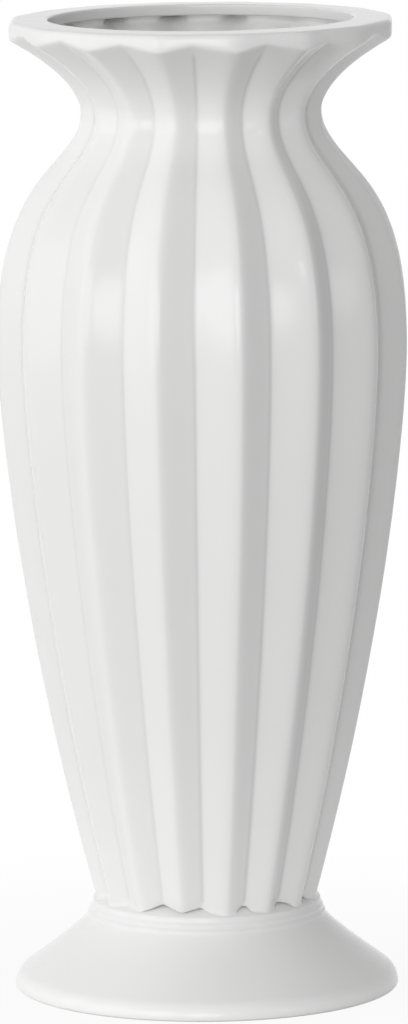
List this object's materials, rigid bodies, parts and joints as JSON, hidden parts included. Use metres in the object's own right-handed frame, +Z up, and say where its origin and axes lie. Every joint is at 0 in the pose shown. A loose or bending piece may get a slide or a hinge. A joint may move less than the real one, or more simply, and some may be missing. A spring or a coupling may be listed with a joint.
{
  "type": "vase",
  "caption": "Tall white glazed ceramic floor or table vase: fluted baluster body, narrow neck, flared scalloped lip with a round opening, flared pedestal foot.",
  "frame": {"origin": "centre of the standing ring, on the surface that the vase stands on", "axes": "+Z up along the axis of the vase; a ridge of the fluting lies on +X, -X, +Y and -Y"},
  "size_m": [0.17, 0.17, 0.4],
  "materials": {
    "white_glaze": "satin gloss white glaze"
  },
  "bodies": {
    "root": {"pedestal_foot": "white_glaze", "foot_collar": "white_glaze", "floor_disc": "white_glaze", "fluted_body": "white_glaze", "fluted_mouth": "white_glaze", "rim_ring": "white_glaze"}
  },
  "joints": []
}
